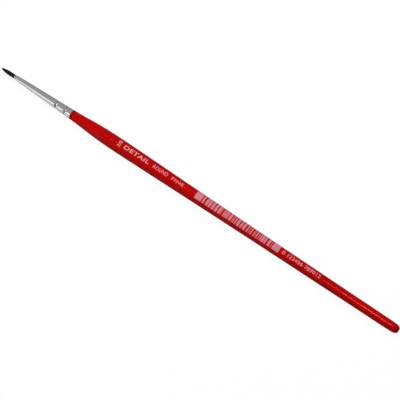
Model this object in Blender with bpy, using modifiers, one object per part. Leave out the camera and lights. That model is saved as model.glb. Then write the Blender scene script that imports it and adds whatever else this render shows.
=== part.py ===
"""Fine detail brush: a turned and lacquered wooden handle, a crimped metal ferrule and a pointed tuft.

Every piece is shaped with the brush standing on its butt, so a height is the distance above the butt's
end and runs up to LENGTH at the hair point. One parent empty then lays the brush on its side: the hair
points to -X, the butt to +X, and the lowest facet of the belly touches the ground. Units are metres.
"""

import math

import bpy

MM = 0.001

# Driving dimensions.
LENGTH = 177.5 * MM  # butt to hair point
HAIR_OUT = 6.5 * MM  # hair in front of the ferrule
FERRULE_LENGTH = 26.5 * MM
MOUTH_DIAMETER = 1.74 * MM  # ferrule, outside, at the hair
REAR_DIAMETER = 3.68 * MM  # ferrule, outside, at the handle
WALL = 0.15 * MM  # ferrule
CRIMP_FORWARD = (2.6 * MM, 6.85 * MM)  # crimp centres, ahead of the ferrule's rear edge
CRIMP_WIDTH = 1.1 * MM
CRIMP_DEPTH = 0.13 * MM
COAT = 0.10 * MM  # lacquer
SHOULDER_ROUND = 0.16 * MM
DOME_HEIGHT = 2.3 * MM
BUTT_FLAT_DIAMETER = 1.0 * MM
TENON_LENGTH = 11.5 * MM
TENON_NOSE = 0.4 * MM  # chamfer on the tenon's front end
GLUE_FILM = 0.05 * MM
GLUE_FROM = 8.1 * MM  # ahead of the ferrule's rear edge
HAIR_INSIDE = 7.5 * MM  # hair behind the ferrule's mouth
RESIN_FROM = 4.2 * MM  # behind the ferrule's mouth
RESIN_TO = 9.2 * MM
RESIN_MENISCUS = 0.35 * MM
THREAD_DIAMETER = 0.08 * MM
THREAD_TURNS = 5
THREAD_PITCH = 0.12 * MM
THREAD_CENTRE = 3.5 * MM  # behind the ferrule's mouth
GAP = 0.03 * MM  # between pieces that touch
HAIR_FILL = 0.93  # how much of its cell a lock fills
INNER_REACH = 0.985  # share of the free length that the inner locks cover
OUTER_REACH = (0.93, 0.97)  # the same for the outer locks, by turns

# Handle outline: distance behind the ferrule, and diameter.
HANDLE_OUTLINE = (
    (0.0, 3.76 * MM),
    (3.0 * MM, 3.95 * MM),
    (9.0 * MM, 4.82 * MM),
    (15.0 * MM, 5.42 * MM),
    (21.5 * MM, 5.56 * MM),
    (31.0 * MM, 5.42 * MM),
    (52.0 * MM, 4.90 * MM),
    (81.0 * MM, 4.28 * MM),
    (112.0 * MM, 3.90 * MM),
    (143.4 * MM, 3.45 * MM),
)

# Tuft outline: distance in front of the mouth, and radius.
TUFT_OUTLINE = (
    (0.0, 0.68 * MM),
    (0.5 * MM, 0.78 * MM),
    (1.2 * MM, 0.84 * MM),
    (2.2 * MM, 0.87 * MM),
    (3.8 * MM, 0.79 * MM),
    (5.3 * MM, 0.57 * MM),
    (6.1 * MM, 0.44 * MM),
    (6.5 * MM, 0.26 * MM),
)

# How far along the free hair each lock has a section, and how thick the lock is there.
LOCK_SECTIONS = (
    (0.08, 1.0),
    (0.19, 1.0),
    (0.36, 1.0),
    (0.58, 1.0),
    (0.78, 0.9),
    (0.92, 0.66),
    (1.0, 0.25),
)

SIDES = 24  # facets round a turned piece
HALF_FACET = math.pi / SIDES
ARC_STEPS = 4
HANDLE_STEPS = 20
HANDLE_CROWDING = 1.5  # above 1, the sections crowd towards the shoulder and the belly
CRIMP_STEPS = 6
THREAD_STEPS = 12  # points in one turn
SEAM = 1e-6  # merges only the points that lie on the turning axis

MOUTH = LENGTH - HAIR_OUT
JOINT = MOUTH - FERRULE_LENGTH
ROOT = MOUTH - HAIR_INSIDE
CRIMPS = tuple(JOINT + forward for forward in CRIMP_FORWARD)
BUNDLE_RADIUS = TUFT_OUTLINE[0][1]

# Nineteen equal cells fill the round bundle: one in the middle, six round it and twelve outside.
INNER_RING = 2.0
OUTER_RING = 1.0 / math.sin(math.pi / 12)
CELL = 1.0 / (OUTER_RING + 1.0)  # a cell's radius as a share of the bundle's


def smooth_value(outline, at):
    """The value at a distance on the smooth curve through an outline's points."""
    last = len(outline) - 1
    index = 0
    while index < last - 1 and at > outline[index + 1][0]:
        index += 1

    def slope(point):
        before = outline[max(point - 1, 0)]
        after = outline[min(point + 1, last)]
        return (after[1] - before[1]) / (after[0] - before[0])

    start, start_value = outline[index]
    end, end_value = outline[index + 1]
    span = end - start
    t = (at - start) / span
    rise = slope(index) * span * (t - 2 * t**2 + t**3) + slope(index + 1) * span * (t**3 - t**2)
    return start_value + (end_value - start_value) * (3 * t**2 - 2 * t**3) + rise


def handle_radius(height):
    """Outer radius of the lacquered handle."""
    return smooth_value(HANDLE_OUTLINE, JOINT - height) / 2


def crimp_dip(height):
    """How far the two ring crimps press the ferrule in."""
    dip = 0.0
    for centre in CRIMPS:
        away = abs(height - centre) / (CRIMP_WIDTH / 2)
        if away < 1:
            dip += CRIMP_DEPTH * (1 + math.cos(math.pi * away)) / 2
    return dip


def ferrule_radius(height):
    """Outer radius of the ferrule, crimps included."""
    along = (height - JOINT) / FERRULE_LENGTH
    straight = REAR_DIAMETER + (MOUTH_DIAMETER - REAR_DIAMETER) * along
    return straight / 2 - crimp_dip(height)


def bore_radius(height):
    """Inner radius of the ferrule."""
    return ferrule_radius(height) - WALL


def tuft_radius(height):
    """Radius of the whole bundle of hair, inside the ferrule and in front of it."""
    if height <= MOUTH:
        return BUNDLE_RADIUS
    return smooth_value(TUFT_OUTLINE, height - MOUTH)


def spread(start, end, steps):
    """Evenly spaced values from start to end, both included."""
    return [start + (end - start) * step / steps for step in range(steps + 1)]


def quarter(steps=ARC_STEPS):
    """Angles of a quarter turn."""
    return spread(0, math.pi / 2, steps)


def crimped_heights(low, high):
    """Heights from high down to low, close together where a crimp lies between them."""
    heights = {low, high}
    for centre in CRIMPS:
        for height in spread(centre - CRIMP_WIDTH / 2, centre + CRIMP_WIDTH / 2, CRIMP_STEPS):
            if low < height < high:
                heights.add(height)
    return sorted(heights, reverse=True)


def handle_outline(inset):
    """Radius and height from the shoulder's edge down to the butt, moved inwards by inset."""
    shoulder = JOINT - SHOULDER_ROUND
    shoulder_radius = handle_radius(shoulder)
    edge = [
        (
            shoulder_radius - SHOULDER_ROUND + (SHOULDER_ROUND - inset) * math.sin(turn),
            shoulder + (SHOULDER_ROUND - inset) * math.cos(turn),
        )
        for turn in quarter()
    ]
    side = []
    for share in spread(0, 1, HANDLE_STEPS)[1:-1]:
        height = shoulder + (DOME_HEIGHT - shoulder) * share**HANDLE_CROWDING
        side.append((handle_radius(height) - inset, height))
    flat = BUTT_FLAT_DIAMETER / 2
    dome = [
        (
            flat + (handle_radius(DOME_HEIGHT) - inset - flat) * math.cos(turn),
            inset + (DOME_HEIGHT - inset) * (1 - math.sin(turn)),
        )
        for turn in quarter()
    ]
    return edge + side + dome


def clear_scene():
    """Remove every object of the open scene."""
    for item in list(bpy.data.objects):
        bpy.data.objects.remove(item, do_unlink=True)


def finish(name, colour, roughness, metallic=0.0):
    """A Principled material."""
    material = bpy.data.materials.new(name)
    material.use_nodes = True
    shader = material.node_tree.nodes["Principled BSDF"]
    shader.inputs["Base Color"].default_value = (*colour, 1.0)
    shader.inputs["Roughness"].default_value = roughness
    shader.inputs["Metallic"].default_value = metallic
    return material


def add_piece(name, data, material, brush):
    """Put a piece on the brush's axis, turned so that a facet faces the ground."""
    data.materials.append(material)
    piece = bpy.data.objects.new(name, data)
    piece.parent = brush
    piece.rotation_euler = (0, 0, HALF_FACET)
    brush.users_collection[0].objects.link(piece)
    return piece


def turned(name, profile, material, brush, ring=False):
    """A piece turned on the brush's axis from radii and heights that run down its outer side."""
    mesh = bpy.data.meshes.new(name)
    points = [(radius, 0, height) for radius, height in profile]
    edges = [(point, point + 1) for point in range(len(points) - 1)]
    if ring:
        edges.append((len(points) - 1, 0))
    mesh.from_pydata(points, edges, [])
    piece = add_piece(name, mesh, material, brush)
    screw = piece.modifiers.new("turning", "SCREW")
    screw.steps = SIDES
    screw.render_steps = SIDES
    screw.use_merge_vertices = True
    screw.merge_threshold = SEAM
    return piece


def strand(name, points, thickness, material, brush, bevel_resolution):
    """A round strand along points, with its own thickness at each of them."""
    curve = bpy.data.curves.new(name, "CURVE")
    curve.dimensions = "3D"
    curve.bevel_depth = 1.0
    curve.bevel_resolution = bevel_resolution
    curve.use_fill_caps = True
    spline = curve.splines.new("POLY")
    spline.points.add(len(points) - 1)
    for point, place, radius in zip(spline.points, points, thickness):
        point.co = (*place, 1.0)
        point.radius = radius
    return add_piece(name, curve, material, brush)


def make_handle_wood(brush):
    """The turned blank: handle body, shoulder and crimped tenon."""
    birch = finish("birch", (0.62, 0.43, 0.24), 0.6)
    nose = JOINT + TENON_LENGTH
    glued = GAP + GLUE_FILM + GAP
    step = JOINT + GLUE_FROM - GAP
    front = [
        (0, nose),
        (bore_radius(nose) - glued - TENON_NOSE, nose),
        (bore_radius(nose) - glued, nose - TENON_NOSE),
        (bore_radius(step) - glued, step),
    ]
    shoulder_face = JOINT - COAT - GAP
    crimped = [
        (bore_radius(height) - GAP, height) for height in crimped_heights(JOINT, step)
    ]
    foot = [(bore_radius(JOINT) - GAP, shoulder_face)]
    body = handle_outline(COAT + GAP)
    return turned("handle_wood", front + crimped + foot + body + [(0, COAT + GAP)], birch, brush)


def make_handle_lacquer(brush):
    """The dipped coat: a thin shell over the blank, open where the tenon comes out."""
    red = finish("red_lacquer", (0.50, 0.004, 0.004), 0.12)
    hole = bore_radius(JOINT)
    inside = [(0, COAT)] + handle_outline(COAT)[::-1] + [(hole, JOINT - COAT)]
    outside = [(hole, JOINT)] + handle_outline(0) + [(0, 0)]
    return turned("handle_lacquer", inside + outside, red, brush)


def make_ferrule(brush):
    """The seamless tapered tube with its rounded mouth and two ring crimps."""
    metal = finish("ferrule_metal", (0.80, 0.80, 0.79), 0.22, metallic=1.0)
    lip = WALL / 2
    lip_height = MOUTH - lip
    lip_radius = ferrule_radius(lip_height) - lip
    mouth = [
        (lip_radius + lip * math.cos(turn), lip_height + lip * math.sin(turn))
        for turn in spread(math.pi, 0, ARC_STEPS)
    ]
    heights = crimped_heights(JOINT + GAP, lip_height)[1:]
    outer = [(ferrule_radius(height), height) for height in heights]
    inner = [(bore_radius(height), height) for height in heights]
    return turned("ferrule", mouth + outer + inner[::-1], metal, brush, ring=True)


def make_tenon_glue(brush):
    """The film of glue round the front of the tenon."""
    glue = finish("tenon_glue", (0.75, 0.66, 0.42), 0.45)
    front = JOINT + TENON_LENGTH - TENON_NOSE
    back = JOINT + GLUE_FROM
    outer = [(bore_radius(height) - GAP, height) for height in (front, back)]
    inner = [(radius - GLUE_FILM, height) for radius, height in outer]
    return turned("tenon_glue", outer + inner[::-1], glue, brush, ring=True)


def make_resin_plug(brush):
    """The hard resin round the hair roots: a cup, open to the hair, with a hollowed back."""
    resin = finish("root_resin", (0.42, 0.22, 0.06), 0.2)
    front = MOUTH - RESIN_FROM
    back = MOUTH - RESIN_TO
    cup = BUNDLE_RADIUS + GAP
    pocket = [(0, ROOT - GAP), (cup, ROOT - GAP), (cup, front)]
    outer = [(bore_radius(height) - GAP, height) for height in (front, back)]
    rim = bore_radius(back) - GAP
    hollow = [
        (rim * math.cos(turn), back + RESIN_MENISCUS * math.sin(turn)) for turn in quarter()[1:-1]
    ]
    return turned("resin_plug", pocket + outer + hollow + [(0, back + RESIN_MENISCUS)], resin, brush)


def make_binding_thread(brush):
    """A few turns of thread round the bundle, just in front of the resin."""
    cotton = finish("binding_thread", (0.70, 0.66, 0.56), 0.85)
    radius = BUNDLE_RADIUS + GAP + THREAD_DIAMETER * 0.8
    start = MOUTH - THREAD_CENTRE - THREAD_TURNS * THREAD_PITCH / 2
    points = []
    for step in range(THREAD_TURNS * THREAD_STEPS + 1):
        turn = step / THREAD_STEPS
        angle = 2 * math.pi * turn
        points.append((radius * math.cos(angle), radius * math.sin(angle), start + turn * THREAD_PITCH))
    thickness = [THREAD_DIAMETER / 2] * len(points)
    return strand("binding_thread", points, thickness, cotton, brush, bevel_resolution=2)


def make_hair_lock(name, ring, angle, reach, hair, brush):
    """One lock of hair from its root inside the ferrule to its own point.

    ring is the lock's distance from the axis in cell radii, and reach is the share of the free length
    that it covers.
    """
    stations = [(ROOT, 1.0), (MOUTH, 1.0)]
    stations += [(MOUTH + HAIR_OUT * reach * share, thick) for share, thick in LOCK_SECTIONS]
    points = []
    thickness = []
    for height, thick in stations:
        cell = CELL * tuft_radius(height)
        away = ring * cell
        points.append((away * math.cos(angle), away * math.sin(angle), height))
        thickness.append(cell * HAIR_FILL * thick)
    return strand(name, points, thickness, hair, brush, bevel_resolution=1)


def make_tuft(brush):
    """The tuft: a core lock to the very point, six round it and twelve outside, a little shorter."""
    hair = finish("dark_hair", (0.035, 0.018, 0.010), 0.4)
    make_hair_lock("hair_core", 0.0, 0.0, 1.0, hair, brush)
    for index in range(6):
        angle = math.radians(60 * index)
        make_hair_lock(f"hair_inner_{index + 1}", INNER_RING, angle, INNER_REACH, hair, brush)
    for index in range(12):
        angle = math.radians(30 * index + 15)
        reach = OUTER_REACH[index % 2]
        make_hair_lock(f"hair_outer_{index + 1:02d}", OUTER_RING, angle, reach, hair, brush)


def make_brush():
    """All pieces, on an empty that lays the brush on its side."""
    collection = bpy.data.collections.new("fine_detail_brush")
    bpy.context.scene.collection.children.link(collection)
    brush = bpy.data.objects.new("brush_axis", None)
    collection.objects.link(brush)
    belly = max(radius for radius, _ in handle_outline(0))
    brush.location = (LENGTH / 2, 0, belly * math.cos(HALF_FACET))
    brush.rotation_euler = (0, math.radians(-90), 0)
    brush.empty_display_size = 5 * MM
    make_handle_wood(brush)
    make_handle_lacquer(brush)
    make_ferrule(brush)
    make_tenon_glue(brush)
    make_resin_plug(brush)
    make_binding_thread(brush)
    make_tuft(brush)


clear_scene()
make_brush()
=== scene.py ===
"""Looks of a fine detail brush: lacquered handle, crimped ferrule, pointed tuft and printed marks.

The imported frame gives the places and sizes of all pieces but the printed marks. The brush lies along X
with its hair at -X, and its round pieces are turned about an axis parallel to X. Angles round that axis,
called turns here, start at the top and grow towards +Y. Lengths are in metres, and materials work in
millimetres.
"""

from __future__ import annotations

import logging
import math
from dataclasses import dataclass
from enum import Enum
from typing import Any

import bmesh
import bpy
from mathutils import Matrix, Vector


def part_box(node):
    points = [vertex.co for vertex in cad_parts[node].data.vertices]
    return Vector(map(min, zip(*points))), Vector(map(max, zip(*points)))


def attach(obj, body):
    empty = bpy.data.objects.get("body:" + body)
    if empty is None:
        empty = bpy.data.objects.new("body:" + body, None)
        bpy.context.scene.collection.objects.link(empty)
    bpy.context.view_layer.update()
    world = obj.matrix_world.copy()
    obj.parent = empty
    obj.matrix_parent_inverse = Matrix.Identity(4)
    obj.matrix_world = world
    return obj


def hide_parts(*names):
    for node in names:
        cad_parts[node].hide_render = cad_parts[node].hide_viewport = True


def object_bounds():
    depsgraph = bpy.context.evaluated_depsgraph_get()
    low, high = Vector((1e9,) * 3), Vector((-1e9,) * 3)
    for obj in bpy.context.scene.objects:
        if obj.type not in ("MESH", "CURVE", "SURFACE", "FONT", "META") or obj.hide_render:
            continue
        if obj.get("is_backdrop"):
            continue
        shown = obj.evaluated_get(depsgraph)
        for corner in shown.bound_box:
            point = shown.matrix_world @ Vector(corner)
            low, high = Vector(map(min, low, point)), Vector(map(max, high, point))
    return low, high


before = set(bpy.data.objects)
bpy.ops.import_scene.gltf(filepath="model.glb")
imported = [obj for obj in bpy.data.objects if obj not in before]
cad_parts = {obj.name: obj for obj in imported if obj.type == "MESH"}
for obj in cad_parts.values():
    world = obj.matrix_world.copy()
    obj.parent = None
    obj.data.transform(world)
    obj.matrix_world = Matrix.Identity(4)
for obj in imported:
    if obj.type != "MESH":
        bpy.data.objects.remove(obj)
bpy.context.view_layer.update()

log = logging.getLogger("brush")

MM = 0.001
WELD = 1e-7  # joins the corners that neighbouring triangles share
BODY = "root"
GOLDEN_TURN = math.pi * (3 - math.sqrt(5))

Colour = tuple[float, float, float]
Point = tuple[float, float]
Place = tuple[float, float, float]
Sockets = dict[str | int, Any]
Settings = dict[str, Any]


# --- Node trees ---------------------------------------------------------------------------------------


class Signal:
    """One output of a node tree. Arithmetic on it adds Math or Vector Math nodes."""

    def __init__(self, graph: Graph, socket: bpy.types.NodeSocket) -> None:
        """Wrap a socket of a graph."""
        self.graph = graph
        self.socket = socket

    def _join(self, operation: str, *terms: Any) -> Signal:
        """Add the node for one operation on values or on vectors.

        Args:
            operation: A Math node's operation that Vector Math has too.
            terms: The node's inputs in order: signals, numbers or triples.

        Returns:
            The node's result.
        """
        wide = any(
            isinstance(term, tuple) or (isinstance(term, Signal) and term.is_vector()) for term in terms
        )
        if wide:
            terms = tuple((term,) * 3 if isinstance(term, (int, float)) else term for term in terms)
        kind = "ShaderNodeVectorMath" if wide else "ShaderNodeMath"
        return self.graph.signal(kind, {"operation": operation}, dict(enumerate(terms)))

    def is_vector(self) -> bool:
        """Tell whether the signal carries three numbers."""
        return self.socket.type == "VECTOR"

    def __add__(self, other: Any) -> Signal:
        """Add."""
        return self._join("ADD", self, other)

    def __radd__(self, other: Any) -> Signal:
        """Add to a number."""
        return self._join("ADD", other, self)

    def __sub__(self, other: Any) -> Signal:
        """Subtract."""
        return self._join("SUBTRACT", self, other)

    def __rsub__(self, other: Any) -> Signal:
        """Subtract from a number."""
        return self._join("SUBTRACT", other, self)

    def __mul__(self, other: Any) -> Signal:
        """Multiply."""
        return self._join("MULTIPLY", self, other)

    def __rmul__(self, other: Any) -> Signal:
        """Multiply a number."""
        return self._join("MULTIPLY", other, self)

    def __truediv__(self, other: Any) -> Signal:
        """Divide."""
        return self._join("DIVIDE", self, other)

    def __rtruediv__(self, other: Any) -> Signal:
        """Divide a number."""
        return self._join("DIVIDE", other, self)

    def apply(self, operation: str, *terms: Any) -> Signal:
        """Use the signal as the first input of another operation.

        Args:
            operation: The Math node's operation, such as SINE or FLOOR.
            terms: The inputs after the first.

        Returns:
            The node's result.
        """
        return self._join(operation, self, *terms)

    def parts(self) -> tuple[Signal, Signal, Signal]:
        """Split a vector into its X, Y and Z."""
        split = self.graph.node("ShaderNodeSeparateXYZ", sockets={0: self})
        return tuple(Signal(self.graph, socket) for socket in split.outputs)


class Graph:
    """A node tree in the making, for a material or for geometry."""

    def __init__(self, tree: bpy.types.NodeTree) -> None:
        """Work on a tree."""
        self.tree = tree

    def node(
        self, kind: str, settings: Settings | None = None, sockets: Sockets | None = None
    ) -> bpy.types.Node:
        """Add a node.

        Args:
            kind: The node's type.
            settings: The node's own values, set first. "stops" are a colour ramp's (place, colour)
                pairs, and "curve" is a float curve's points.
            sockets: A value or a signal for each input, by name or by number.

        Returns:
            The new node.
        """
        made = self.tree.nodes.new(kind)
        for name, value in (settings or {}).items():
            if name == "stops":
                self._set_stops(made.color_ramp, value)
            elif name == "curve":
                self._set_curve(made.mapping, value)
            else:
                setattr(made, name, value)
        for key, value in (sockets or {}).items():
            if isinstance(value, Signal):
                self.tree.links.new(value.socket, made.inputs[key])
            else:
                made.inputs[key].default_value = value
        return made

    def signal(
        self,
        kind: str,
        settings: Settings | None = None,
        sockets: Sockets | None = None,
        output: str | int = 0,
    ) -> Signal:
        """Add a node and take one of its outputs.

        Args:
            kind: The node's type.
            settings: As for node.
            sockets: As for node.
            output: The output's name or number.

        Returns:
            That output.
        """
        return Signal(self, self.node(kind, settings, sockets).outputs[output])

    @staticmethod
    def _set_stops(ramp: bpy.types.ColorRamp, stops: list[tuple[float, Colour]]) -> None:
        """Give a colour ramp its stops, in rising order."""
        while len(ramp.elements) < len(stops):
            ramp.elements.new(1.0)
        for element, (place, colour) in zip(ramp.elements, stops):
            element.position = place
            element.color = (*colour, 1.0)

    @staticmethod
    def _set_curve(mapping: bpy.types.CurveMapping, points: list[Point]) -> None:
        """Give a float curve its points, in rising order."""
        line = mapping.curves[0].points
        while len(line) < len(points):
            line.new(0.5, 0.5)
        for knot, point in zip(line, points):
            knot.location = point
        mapping.update()

    def vector(self, x: Any = 0.0, y: Any = 0.0, z: Any = 0.0) -> Signal:
        """Join three values into a vector."""
        return self.signal("ShaderNodeCombineXYZ", sockets={0: x, 1: y, 2: z})

    def ramp(self, value: Signal, low: float, high: float) -> Signal:
        """Rise smoothly from 0 to 1 while a value goes from low to high."""
        sockets = {"Value": value, "From Min": low, "From Max": high}
        return self.signal("ShaderNodeMapRange", {"interpolation_type": "SMOOTHSTEP"}, sockets)


class Paint(Graph):
    """A material's node tree, with the patterns that the finishes share."""

    @classmethod
    def afresh(cls, owner: bpy.types.Material | bpy.types.World) -> Paint:
        """Start an empty node tree for a material or a world."""
        owner.use_nodes = True
        owner.node_tree.nodes.clear()
        return cls(owner.node_tree)

    def carried(self, name: str) -> Signal:
        """Read a value that the mesh carries at its points."""
        return self.signal("ShaderNodeAttribute", {"attribute_name": name}, output="Fac")

    def ray(self, kind: str) -> Signal:
        """Tell whether a ray is of a kind, such as Camera or Glossy."""
        return self.signal("ShaderNodeLightPath", output=f"Is {kind} Ray")

    def place(self) -> Signal:
        """Give the place on the object, in millimetres."""
        return self.signal("ShaderNodeTexCoord", output="Object") * (1 / MM)

    def noise(self, place: Signal, scale: float, detail: float = 2.0, roughness: float = 0.5) -> Signal:
        """Make a soft random pattern.

        Args:
            place: Where it is read, in millimetres.
            scale: Blotches to the millimetre.
            detail: How many finer layers lie on it.
            roughness: How strong those layers are.

        Returns:
            Values from 0 to 1 that gather about one half.
        """
        sockets = {"Vector": place, "Scale": scale, "Detail": detail, "Roughness": roughness}
        return self.signal("ShaderNodeTexNoise", sockets=sockets)

    def mix(self, share: Any, first: Any, second: Any) -> Signal:
        """Blend two colours.

        Args:
            share: How much of the second colour there is, from 0 to 1.
            first: A colour, as a triple or a signal.
            second: The same.

        Returns:
            The blended colour.
        """
        ends = [(*colour, 1.0) if isinstance(colour, tuple) else colour for colour in (first, second)]
        return self.signal("ShaderNodeMix", {"data_type": "RGBA"}, {0: share, 6: ends[0], 7: ends[1]}, 2)

    def bump(self, height: Signal, depth: float, under: Signal | None = None) -> Signal:
        """Raise the surface.

        Args:
            height: The relief, from 0 to 1.
            depth: Its depth in metres.
            under: A relief that this one lies on.

        Returns:
            The bent normal.
        """
        sockets = {"Strength": 1.0, "Distance": depth, "Height": height}
        if under is not None:
            sockets["Normal"] = under
        return self.signal("ShaderNodeBump", sockets=sockets)


class Recipe(Graph):
    """A geometry node tree with named inputs, which is run once to make a plain mesh."""

    def __init__(self, name: str) -> None:
        """Start a tree whose first input is the mesh that it is put on."""
        super().__init__(bpy.data.node_groups.new(name, "GeometryNodeTree"))
        self.values: dict[str, Any] = {}
        self.tree.interface.new_socket("Geometry", in_out="INPUT", socket_type="NodeSocketGeometry")
        self.tree.interface.new_socket("Geometry", in_out="OUTPUT", socket_type="NodeSocketGeometry")
        self.inlet = self.tree.nodes.new("NodeGroupInput")

    def base(self) -> Signal:
        """Give the mesh that the tree is put on."""
        return Signal(self, self.inlet.outputs[0])

    def given(self, name: str, value: Any) -> Signal:
        """Add a named input.

        Args:
            name: What the input is called.
            value: Its value: a whole number, a number, an object or a material.

        Returns:
            The input, for the tree to use.
        """
        kinds = {
            int: "NodeSocketInt",
            float: "NodeSocketFloat",
            bpy.types.Object: "NodeSocketObject",
            bpy.types.Material: "NodeSocketMaterial",
        }
        socket = self.tree.interface.new_socket(name, in_out="INPUT", socket_type=kinds[type(value)])
        self.values[socket.identifier] = value
        return Signal(self, self.inlet.outputs[name])

    def shape_of(self, holder: Signal) -> Signal:
        """Give the geometry of an object input."""
        return self.signal("GeometryNodeObjectInfo", sockets={"Object": holder}, output="Geometry")

    def where(self) -> Signal:
        """Give each point's place."""
        return self.signal("GeometryNodeInputPosition")

    def move(self, shape: Signal, spot: Signal) -> Signal:
        """Put each point of a shape in a new place."""
        return self.signal("GeometryNodeSetPosition", sockets={"Geometry": shape, "Position": spot})

    def store(self, shape: Signal, name: str, value: Signal) -> Signal:
        """Give each point of a shape a value, under a name that its finish reads."""
        settings = {"data_type": "FLOAT", "domain": "POINT"}
        sockets = {"Geometry": shape, "Name": name, "Value": value}
        return self.signal("GeometryNodeStoreNamedAttribute", settings, sockets)

    def ring(self, corners: Signal | int) -> Signal:
        """Draw a circle of radius 1 as a strand's section."""
        sockets = {"Resolution": corners, "Radius": 1.0}
        return self.signal("GeometryNodeCurvePrimitiveCircle", sockets=sockets)

    def sweep(self, path: Signal, section: Signal, radius: Signal) -> Signal:
        """Run a section along a path, and close its ends."""
        sockets = {"Curve": path, "Profile Curve": section, "Scale": radius, "Fill Caps": True}
        return self.signal("GeometryNodeCurveToMesh", sockets=sockets)

    def cast(
        self, name: str, geometry: Signal, material: bpy.types.Material, base: bpy.types.Mesh | None = None
    ) -> bpy.types.Object:
        """Run the tree and keep what it makes.

        Args:
            name: The piece's name.
            geometry: The shape, before its instances are made real and it gets its material.
            material: The piece's finish.
            base: The mesh that the tree is put on, if it uses one.

        Returns:
            The piece, a plain mesh at the origin.
        """
        finish = self.given("Material", material)
        solid = self.signal("GeometryNodeRealizeInstances", sockets={0: geometry})
        dressed = self.signal("GeometryNodeSetMaterial", sockets={"Geometry": solid, "Material": finish})
        self.node("NodeGroupOutput", sockets={0: dressed})
        piece = show(name, base or bpy.data.meshes.new(name))
        modifier = piece.modifiers.new(self.tree.name, "NODES")
        modifier.node_group = self.tree
        for identifier, value in self.values.items():
            modifier[identifier] = value
        mesh = as_mesh(piece)
        piece.modifiers.remove(modifier)
        piece.data = mesh
        mesh.name = name
        return piece


def show(name: str, data: bpy.types.ID) -> bpy.types.Object:
    """Put a new object in the scene."""
    made = bpy.data.objects.new(name, data)
    bpy.context.scene.collection.objects.link(made)
    return made


def as_mesh(piece: bpy.types.Object) -> bpy.types.Mesh:
    """Make a plain mesh of an object as it is shown."""
    return bpy.data.meshes.new_from_object(piece.evaluated_get(bpy.context.evaluated_depsgraph_get()))


# --- Finishes -----------------------------------------------------------------------------------------


@dataclass(frozen=True)
class Finish:
    """What all finishes share: a name, a main colour and a mean roughness."""

    name: str
    colour: Colour
    roughness: float

    def material(self) -> bpy.types.Material:
        """Build the finish.

        Returns:
            A material whose tree holds one Principled shader and what feeds it.
        """
        made = bpy.data.materials.new(self.name)
        paint = Paint.afresh(made)
        shader = paint.signal("ShaderNodeBsdfPrincipled", sockets={**self.fixed(), **self.varied(paint)})
        paint.node("ShaderNodeOutputMaterial", sockets={"Surface": shader})
        return made

    def fixed(self) -> Sockets:
        """Give the shader values that are the same all over."""
        return {}

    def varied(self, paint: Paint) -> Sockets:
        """Give the shader inputs that change over the surface."""
        raise NotImplementedError

    def dress(self, node: str) -> None:
        """Give a CAD node this finish.

        Args:
            node: The node's name.
        """
        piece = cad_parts[node]
        for place in piece.material_slots:
            place.material = self.material()
        log.info("%s: kept, %s", node, self.name)


@dataclass(frozen=True)
class Lacquer(Finish):
    """A dipped gloss coat over turned wood."""

    shade: Colour  # the grain's darker bands, and painted shade at both ends of the coat
    worn: Colour  # where it is rubbed
    gloss: float  # the shader's specular level
    shoulder: float  # the coat's front edge, in millimetres along X
    butt: float  # its back end
    end_shade_reach: float = 1.8  # how far the painted shade reaches from either end, in millimetres; the rubbed patch at the butt is placed by it too
    clear: float = 0.045  # weight of the clear top coat
    clear_roughness: float = 0.08
    grain_depth: float = 0.003 * MM
    peel_depth: float = 0.007 * MM
    dust_depth: float = 0.012 * MM

    def fixed(self) -> Sockets:
        """Keep the gloss even."""
        return {"Specular IOR Level": self.gloss, "Coat Roughness": self.clear_roughness}

    def varied(self, paint: Paint) -> Sockets:
        """Show the grain through the coat, orange peel, dust, finger smudges, painted shade towards both
        ends and rubbed ends.
        """
        place = paint.place()
        along = place.parts()[0]
        grain = paint.noise(place * (0.06, 1.0, 1.0), 1.9, 4.0, 0.6)
        peel = paint.noise(place * (0.6, 1.0, 1.0), 1.1, 1.0)
        dust = paint.ramp(paint.noise(place, 3.2, 0.0), 0.80, 0.86)
        smudge = paint.ramp(paint.noise(place * (0.35, 1.0, 1.0), 0.30, 3.0), 0.48, 0.68)
        # Painted shade: the coat is darkened towards the shoulder and the butt, where its rounded ends turn
        # from the light.
        ends = paint.ramp(along, self.butt - self.end_shade_reach, self.butt) + (
            1 - paint.ramp(along, self.shoulder, self.shoulder + self.end_shade_reach)
        )
        rubbed = paint.ramp(paint.noise(place, 2.4, 3.0, 0.7), 0.56, 0.70) * paint.ramp(
            along, self.butt - self.end_shade_reach, self.butt - self.end_shade_reach / 2
        )
        colour = paint.mix(paint.ramp(grain, 0.40, 0.72) * 0.45, self.colour, self.shade)
        # Lay the painted shade at both ends, in the darker red.
        colour = paint.mix(ends * 0.90, colour, self.shade)
        colour = paint.mix(rubbed * 0.20, colour, self.worn)
        relief = paint.bump(peel, self.peel_depth, paint.bump(grain, self.grain_depth))
        return {
            "Base Color": colour,
            "Roughness": self.roughness + smudge * 0.10 + rubbed * 0.18 + grain * 0.05,
            "Coat Weight": self.clear - smudge * 0.02,
            "Normal": paint.bump(dust, self.dust_depth, relief),
        }


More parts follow.
